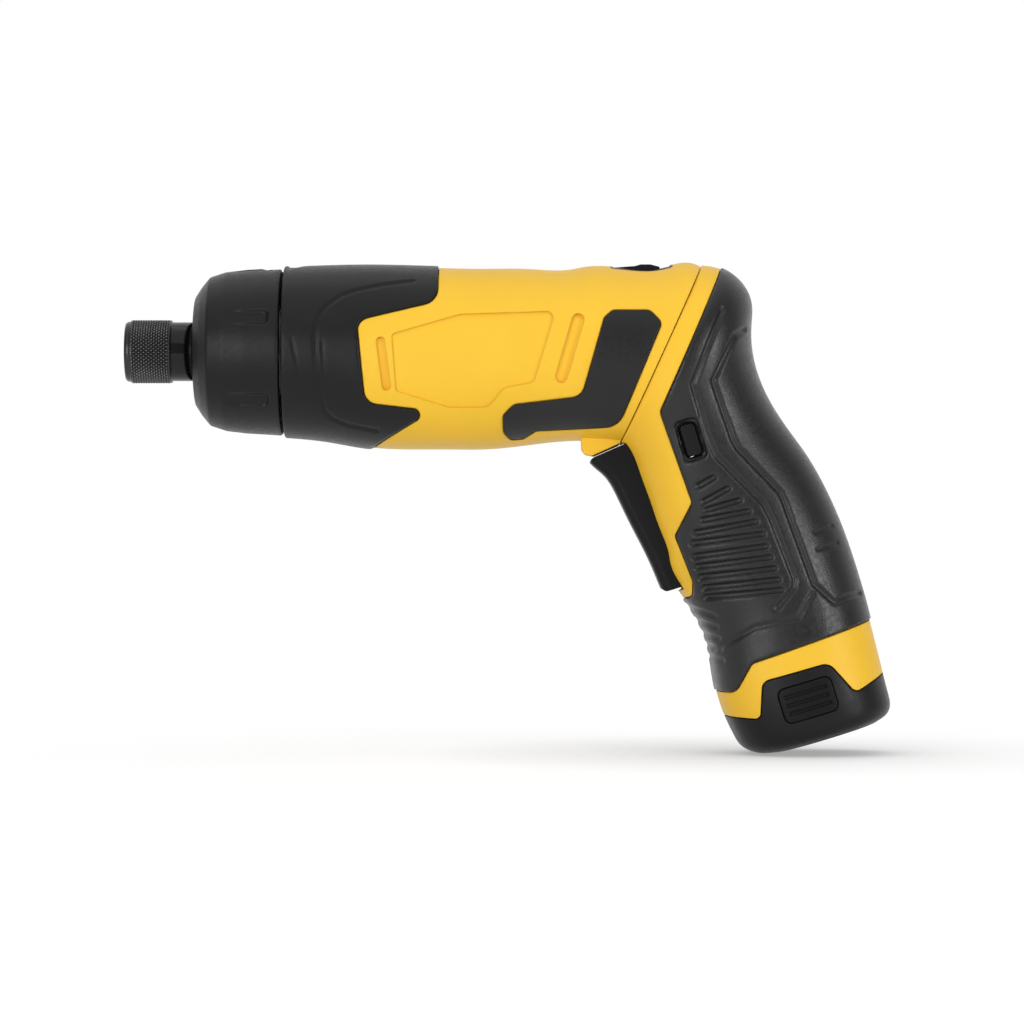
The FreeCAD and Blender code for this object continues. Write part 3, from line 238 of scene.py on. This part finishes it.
def brighten_tips(material):
    """Black in the knurl's cuts and worn bright on its tips, by the distance from the spindle's axis."""
    nodes, links = material.node_tree.nodes, material.node_tree.links
    place = nodes.new("ShaderNodeTexCoord")
    flat = nodes.new("ShaderNodeVectorMath")
    flat.operation = "MULTIPLY"
    flat.inputs[1].default_value = (0, 1, 1)
    links.new(place.outputs["Object"], flat.inputs[0])
    radius = nodes.new("ShaderNodeVectorMath")
    radius.operation = "LENGTH"
    links.new(flat.outputs["Vector"], radius.inputs[0])
    height = spread(nodes, links, radius.outputs["Value"], *KNURL_RADII, 0.0, 1.0)
    tones = ramp(nodes, links, height, tuple(enumerate(KNURL_TONES)))
    links.new(tones, nodes["Principled BSDF"].inputs["Base Color"])


# Paints shade on the shell in the collar gap and in the direction button's room.
paint_gap_shade(yellow)
brighten_tips(knurled)
LOOKS = {"yellow_shell": yellow, "soft_grip": rubber, "black_plastic": black, "inner_plastic": inner,
         "cell_wrap": wrap, "dark_steel": oxide, "steel": steel, "bearing_bronze": bronze,
         "gear_case_alloy": alloy}


def dress_nodes():
    """Gives every CAD node the look of its material slot, and the controls a duller black."""
    for part in frame["record"]["subparts"]:
        piece = NODES[part["node"]]
        piece.data.materials.clear()
        piece.data.materials.append(LOOKS[part["material_slot"]])
    for node in ("trigger", "latch_left", "latch_right", "direction_button", "lock_button"):
        NODES[node].data.materials[0] = hard


dress_nodes()


# Moulded details


def fine_mesh(name, nodes, smooth):
    """One closed, evenly meshed piece in place of CAD nodes, with its edges a little rounded."""
    form = bmesh.new()
    for node in nodes:
        form.from_mesh(NODES[node].data)
    mesh = bpy.data.meshes.new(name)
    form.to_mesh(mesh)
    form.free()
    piece = bpy.data.objects.new(name, mesh)
    bpy.context.scene.collection.objects.link(piece)
    remesh = piece.modifiers.new("even", "REMESH")
    remesh.mode = "VOXEL"
    remesh.voxel_size = FINE_VOXEL * MM
    ease = piece.modifiers.new("ease", "SMOOTH")
    ease.factor = 0.5
    ease.iterations = smooth
    return bake(piece)


def bake(piece):
    """Puts the result of a piece's modifiers into its mesh."""
    evaluated = piece.evaluated_get(bpy.context.evaluated_depsgraph_get())
    mesh = bpy.data.meshes.new_from_object(evaluated)
    piece.modifiers.clear()
    piece.data = mesh
    mesh.polygons.foreach_set("use_smooth", [True] * len(mesh.polygons))
    return piece


def read_points(mesh):
    """Vertex places and normals as arrays; places in millimetres."""
    places = np.empty(len(mesh.vertices) * 3)
    normals = np.empty(len(mesh.vertices) * 3)
    mesh.vertices.foreach_get("co", places)
    mesh.vertices.foreach_get("normal", normals)
    return places.reshape(-1, 3) / MM, normals.reshape(-1, 3)


def line_distance(points, line):
    """Distance in the side view from each point to a line of (x, z) corners."""
    flat = points[:, (0, 2)]
    best = np.full(len(points), 1e9)
    for a, b in zip(line, line[1:]):
        a = np.array(a)
        run = np.array(b) - a
        part = np.clip(((flat - a) @ run) / (run @ run), 0, 1)
        best = np.minimum(best, np.linalg.norm(flat - a - part[:, None] * run, axis=1))
    return best


def press(piece, shifts):
    """Moves each vertex along its normal by its shift, in millimetres; a negative shift sinks it."""
    places, normals = read_points(piece.data)
    places = (places + normals * shifts[:, None]) * MM
    piece.data.vertices.foreach_set("co", places.ravel())
    piece.data.update()


def groove(distance, width, depth):
    """The depth of a round-bottomed groove at a distance from its middle."""
    return -depth * np.clip(1 - (distance / (width / 2)) ** 2, 0, 1)


def between(line, part):
    """The point a fraction of the way along a line of corners."""
    place = part * (len(line) - 1)
    i = min(int(place), len(line) - 2)
    a, b = np.array(line[i]), np.array(line[i + 1])
    return tuple(a + (b - a) * (place - i))


GRIP_FRONT_LINE = ((148.2, 9.7), (140.8, -8.7), (144.1, -20.2), (146.6, -26.3), (158.4, -38.1),
                   (160.4, -42.0), (166.1, -56.7), (165.8, -58.7), (161.7, -63.7))
GRIP_REAR_LINE = ((153.9, 4.9), (151.4, 3.3), (145.9, -7.9), (150.8, -22.2), (152.0, -24.4),
                  (162.3, -35.0), (163.5, -37.5), (170.9, -57.9), (176.0, -62.4),
                  (178.9, -61.1), (182.7, -60.3))
GRIP_WRAP_LINE = ((146.7, -74.2), (156.4, -68.5), (166.8, -66.3), (170.3, -60.2))
GRIP_MARKS = (((171.2, -45.2), (175.7, -43.6)), ((171.9, -49.3), (177.0, -47.8)))
RIB_LEFT = ((142.4, -33.7), (144.1, -38.5), (144.4, -40.4), (142.1, -44.6), (141.0, -47.8),
            (141.5, -51.9), (142.4, -54.8), (143.8, -58.3), (144.4, -61.2))
RIB_RIGHT = ((145.9, -31.7), (150.4, -35.0), (153.6, -38.8), (155.9, -41.7), (158.1, -45.5),
             (159.1, -49.3), (160.4, -52.6), (161.7, -56.1), (162.6, -59.3))
RIBS = 11
FRONT_RIDGES = 5
RIDGE_TOP = -64.2
RIDGE_PITCH = 2.75
# Widths and depths of the pressed lines, in millimetres.
EDGE_GROOVE = (1.6, 0.7)
WRAP_GROOVE = (1.6, 0.4)
MARK_GROOVE = (1.1, 0.3)
RIB_GROOVE = (2.0, 0.95)
RIDGE_GROOVE = (1.6, 0.35)
NOSE_GROOVE = (1.2, 0.35)
NOSE_MARK_GROOVE = (0.8, 0.18)
FINE_VOXEL = 0.4
# Points that face the middle plane more than this lie inside the grip and stay as they are.
INNER_FACING = -0.2


def make_grip():
    """The soft grip with its moulded lines, finger ribs and front ridges."""
    grip = fine_mesh("grip", ("grip_left", "grip_right"), 3)
    places, normals = read_points(grip.data)
    shifts = np.zeros(len(places))
    for line in (GRIP_FRONT_LINE, GRIP_REAR_LINE):
        shifts = np.minimum(shifts, groove(line_distance(places, line), *EDGE_GROOVE))
    shifts = np.minimum(shifts, groove(line_distance(places, GRIP_WRAP_LINE), *WRAP_GROOVE))
    for line in GRIP_MARKS:
        shifts = np.minimum(shifts, groove(line_distance(places, line), *MARK_GROOVE))
    for k in range(RIBS):
        part = k / (RIBS - 1)
        rib = (between(RIB_LEFT, part), between(RIB_RIGHT, part))
        shifts = np.minimum(shifts, groove(line_distance(places, rib), *RIB_GROOVE))
    for k in range(FRONT_RIDGES):
        z = RIDGE_TOP - RIDGE_PITCH * k
        ridge = ((136.3, z + 1.8), (146.5 + 0.5 * k, z - 1.6))
        shifts = np.minimum(shifts, groove(line_distance(places, ridge), *RIDGE_GROOVE))
    press(grip, shifts * (normals[:, 1] * np.sign(places[:, 1]) > INNER_FACING))
    grip.data.materials.append(bulges)
    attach(grip, "handle")
    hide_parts("grip_left", "grip_right")


# Each half of the alignment arrow: its front end, its widest place and its rear end along the barrel.
NOSE_ARROW = (41.0, 41.0, 47.0)
COLLAR_ARROW = (34.0, 36.8, 42.0)
ARROW_HALF_WIDTH = 8.0
ARROW_DEPTH = 0.4
ARROW_SOFT_EDGE = 0.5
# Keeps the slope finite where a half begins at its widest place.
ARROW_START = 0.01
ARROW_LEAST_RADIUS = 19
NOSE_EDGE = ((72.2, 16.8), (64.4, 15.8), (58.4, 14.5), (54.5, 13.1), (51.2, 10.6), (49.0, 7.9),
             (48.2, 5.1), (48.4, -1.5), (48.6, -5.9), (49.6, -11.4), (50.5, -15.2),
             (52.4, -17.1), (56.0, -18.6), (63.2, -20.0))
NOSE_MARKS = (((50.0, 1.8), (50.2, -2.6), (50.5, -8.6)), ((42.5, 2.4), (44.1, -5.3), (45.2, -11.4)))


def make_nose():
    """The nose cover with the edge of its raised front and two short marks."""
    nose = fine_mesh("nose", ("nose_cover",), 3)
    places = read_points(nose.data)[0]
    shifts = groove(line_distance(places, NOSE_EDGE), *NOSE_GROOVE)
    for line in NOSE_MARKS:
        shifts = np.minimum(shifts, groove(line_distance(places, line), *NOSE_MARK_GROOVE))
    press(nose, np.minimum(shifts, arrow(places, *NOSE_ARROW)))
    nose.data.materials.append(black)
    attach(nose, "body")
    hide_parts("nose_cover")


def arrow(places, front, widest, rear):
    """The sink of the alignment arrow on top of the barrel, widest at one place along it."""
    x, y, z = places.T
    opening = np.clip((x - front + ARROW_START) / (widest - front + ARROW_START), 0, 1)
    closing = np.clip((rear - x) / (rear - widest), 0, 1)
    half = ARROW_HALF_WIDTH * np.minimum(opening, closing)
    on_top = (z > 0) * (np.hypot(y, z) > ARROW_LEAST_RADIUS)
    inside = np.clip((half - np.abs(y)) / ARROW_SOFT_EDGE, 0, 1) * on_top
    return -ARROW_DEPTH * inside


def make_collar():
    """The torque collar with its half of the alignment arrow."""
    collar = fine_mesh("collar", ("torque_collar",), 2)
    press(collar, arrow(read_points(collar.data)[0], *COLLAR_ARROW))
    collar.data.materials.append(black)
    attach(collar, "collar")
    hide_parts("torque_collar")


KNURLS = 52
KNURL_DEPTH = 0.5
KNURL_RADIUS = 7.9
KNURL_FRONT = 1.6
KNURL_REAR = 11.2
KNURL_RINGS = 80
STEPS_PER_KNURL = 8
KNURL_CLIMB = 0.8
KNURL_LAND = 0.3
# The cuts run between these places along the sleeve, and the polished neck begins behind NECK_FRONT.
CUT_FRONT = 1.9
CUT_REAR = 11.0
NECK_FRONT = 11.6


def make_sleeve():
    """The bit sleeve with its crossed knurl."""
    front = ((9.6, 6.7), (0.2, 6.7), (0.0, 6.9), (0.05, 7.1), (0.4, 7.4), (0.9, 7.55), (1.3, 7.6),
             (1.5, 7.85), (KNURL_FRONT, KNURL_RADIUS))
    knurl = [(KNURL_FRONT + (KNURL_REAR - KNURL_FRONT) * k / KNURL_RINGS, KNURL_RADIUS)
             for k in range(1, KNURL_RINGS + 1)]
    rear = ((11.5, 7.75), (11.7, 7.4), (12.0, 7.38), (16.8, 7.38), (17.0, 7.2), (17.0, 5.36), (9.6, 5.36))
    rings = list(front) + knurl + list(rear)
    steps = KNURLS * STEPS_PER_KNURL
    form = bmesh.new()
    loops = []
    for x, r in rings:
        loop = []
        for k in range(steps):
            angle = 2 * math.pi * k / steps
            radius = r
            if CUT_FRONT <= x <= CUT_REAR and r == KNURL_RADIUS:
                turn = KNURLS * angle / (2 * math.pi)
                climb = x * KNURL_CLIMB
                cut = max(abs(((turn + climb) % 1) - 0.5), abs(((turn - climb) % 1) - 0.5)) * 2
                radius = r - KNURL_DEPTH * max(0.0, (cut - KNURL_LAND) / (1 - KNURL_LAND))
            place = (x * MM, radius * math.sin(angle) * MM, radius * math.cos(angle) * MM)
            loop.append(form.verts.new(place))
        loops.append(loop)
    for a, b in zip(loops, loops[1:] + loops[:1]):
        for k in range(steps):
            form.faces.new((a[k], a[(k + 1) % steps], b[(k + 1) % steps], b[k]))
    bmesh.ops.recalc_face_normals(form, faces=form.faces)
    mesh = bpy.data.meshes.new("sleeve")
    form.to_mesh(mesh)
    form.free()
    mesh.polygons.foreach_set("use_smooth", [True] * len(mesh.polygons))
    sleeve = bpy.data.objects.new("sleeve", mesh)
    bpy.context.scene.collection.objects.link(sleeve)
    for look in (oxide, knurled, polish):
        sleeve.data.materials.append(look)
    for face in mesh.polygons:
        x = face.center.x / MM
        face.material_index = 1 if CUT_FRONT < x < CUT_REAR else 2 if x > NECK_FRONT else 0
    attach(sleeve, "sleeve")
    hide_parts("bit_sleeve")


make_grip()
make_nose()
make_collar()
make_sleeve()


# Stage

SOFT_LIGHT = 0.37
# Reach, power and least value of the painted shadow that ambient occlusion puts on the floor's glow.
SHADOW_REACH = 0.075
SHADOW_POWER = 2.0
SHADOW_LEAST = 0.45
FLOOR_HALF = 0.6
FLOOR_DROP = 0.0002
# The floor's glow from its front edge to its rear one, which makes up for the lamps' uneven light.
FLOOR_GLOW = ((0.0, 0.87), (0.3, 0.735), (0.417, 0.735), (0.583, 0.775), (1.0, 0.87))
FLOOR_BOUNCE = 0.9
FLOOR_SEEN = 0.35
# Glossy rays that point this far backwards begin to see the backdrop, and then see it in full.
BACKDROP_EDGE = (-0.2, 0.6)


def plane(name, size, z):
    """A square floor."""
    mesh = bpy.data.meshes.new(name)
    form = bmesh.new()
    bmesh.ops.create_grid(form, x_segments=1, y_segments=1, size=size)
    form.to_mesh(mesh)
    form.free()
    floor = bpy.data.objects.new(name, mesh)
    floor.location = (0.1, 0, z)
    bpy.context.scene.collection.objects.link(floor)
    return floor


def light(name, place, target, size, power):
    """A square soft box that faces a point."""
    lamp = bpy.data.lights.new(name, "AREA")
    lamp.size = size
    lamp.energy = power
    box = bpy.data.objects.new(name, lamp)
    box.location = place
    box.rotation_euler = (Vector(target) - Vector(place)).to_track_quat("-Z", "Y").to_euler()
    bpy.context.scene.collection.objects.link(box)


def make_floor():
    """A pale floor, white where nothing stands near it, with the tool's soft shadow: real shadow from the
    lamps in its lit part, and painted shadow where ambient occlusion darkens its glow.
    """
    floor = plane("floor", FLOOR_HALF, CAD_BOX[0][2] - FLOOR_DROP)
    material, nodes, links, shader = new_material("floor", (FLOOR_BOUNCE,) * 3, 0.9, Specular_IOR_Level=0.0)
    painted_shadow_occlusion = nodes.new("ShaderNodeAmbientOcclusion")
    painted_shadow_occlusion.samples = 16
    painted_shadow_occlusion.inputs["Distance"].default_value = SHADOW_REACH
    shade = nodes.new("ShaderNodeMath")
    shade.operation = "POWER"
    links.new(painted_shadow_occlusion.outputs["AO"], shade.inputs[0])
    shade.inputs[1].default_value = SHADOW_POWER
    path = nodes.new("ShaderNodeLightPath")
    seen = larger(nodes, links, path.outputs["Is Camera Ray"], path.outputs["Is Glossy Ray"])
    seen = larger(nodes, links, seen, path.outputs["Is Transmission Ray"])
    links.new(spread(nodes, links, seen, 0.0, 1.0, FLOOR_BOUNCE, FLOOR_SEEN), shader.inputs["Base Color"])
    place = nodes.new("ShaderNodeTexCoord")
    split = nodes.new("ShaderNodeSeparateXYZ")
    links.new(place.outputs["Object"], split.inputs[0])
    depth = spread(nodes, links, split.outputs["Y"], -FLOOR_HALF, FLOOR_HALF, 0.0, 1.0)
    links.new(ramp(nodes, links, depth, FLOOR_GLOW), shader.inputs["Emission Color"])
    # Painted shadow: ambient occlusion near the tool darkens the floor's glow.
    shade = spread(nodes, links, shade.outputs[0], 0.0, 1.0, SHADOW_LEAST, 1.0)
    links.new(product(nodes, links, seen, shade), shader.inputs["Emission Strength"])
    floor.data.materials.append(material)


def make_world():
    """Soft light all round; a white backdrop, mirrored where it stands behind the tool."""
    world = bpy.data.worlds.new("studio")
    bpy.context.scene.world = world
    world.use_nodes = True
    nodes, links = world.node_tree.nodes, world.node_tree.links
    soft = nodes["Background"]
    soft.inputs["Color"].default_value = (1, 1, 1, 1)
    soft.inputs["Strength"].default_value = SOFT_LIGHT
    white = nodes.new("ShaderNodeBackground")
    white.inputs["Color"].default_value = (1, 1, 1, 1)
    white.inputs["Strength"].default_value = 1.0
    place = nodes.new("ShaderNodeTexCoord")
    split = nodes.new("ShaderNodeSeparateXYZ")
    links.new(place.outputs["Generated"], split.inputs[0])
    behind = spread(nodes, links, split.outputs["Y"], *BACKDROP_EDGE, 0.0, 1.0, "SMOOTHSTEP")
    path = nodes.new("ShaderNodeLightPath")
    seen = larger(nodes, links, path.outputs["Is Camera Ray"], path.outputs["Is Transmission Ray"])
    seen = larger(nodes, links, seen, product(nodes, links, path.outputs["Is Glossy Ray"], behind))
    choose = nodes.new("ShaderNodeMixShader")
    links.new(seen, choose.inputs[0])
    links.new(soft.outputs[0], choose.inputs[1])
    links.new(white.outputs[0], choose.inputs[2])
    links.new(choose.outputs[0], nodes["World Output"].inputs["Surface"])


def make_lamps():
    """Soft boxes above, in front and to the right."""
    light("top_box", (0.05, -0.20, 0.60), (0.10, 0, 0), 1.0, 2.2)
    light("front_box", (-0.35, -0.80, 0.0), (0.10, 0, -0.03), 0.60, 4.3)
    light("side_box", (0.65, -0.50, 0.05), (0.14, 0, -0.03), 0.25, 1.5)


def make_camera():
    """The photograph's view: from the left side, level, through a long lens."""
    camera = bpy.data.cameras.new("camera")
    camera.lens = 140.5
    camera.sensor_width = 36.0
    eye = bpy.data.objects.new("camera", camera)
    eye.location = (0.0965, -1.00, -0.0401)
    eye.rotation_euler = (math.radians(90), 0, 0)
    bpy.context.scene.collection.objects.link(eye)
    bpy.context.scene.camera = eye


make_floor()
make_world()
make_lamps()
make_camera()
bpy.context.scene.view_settings.view_transform = "Standard"
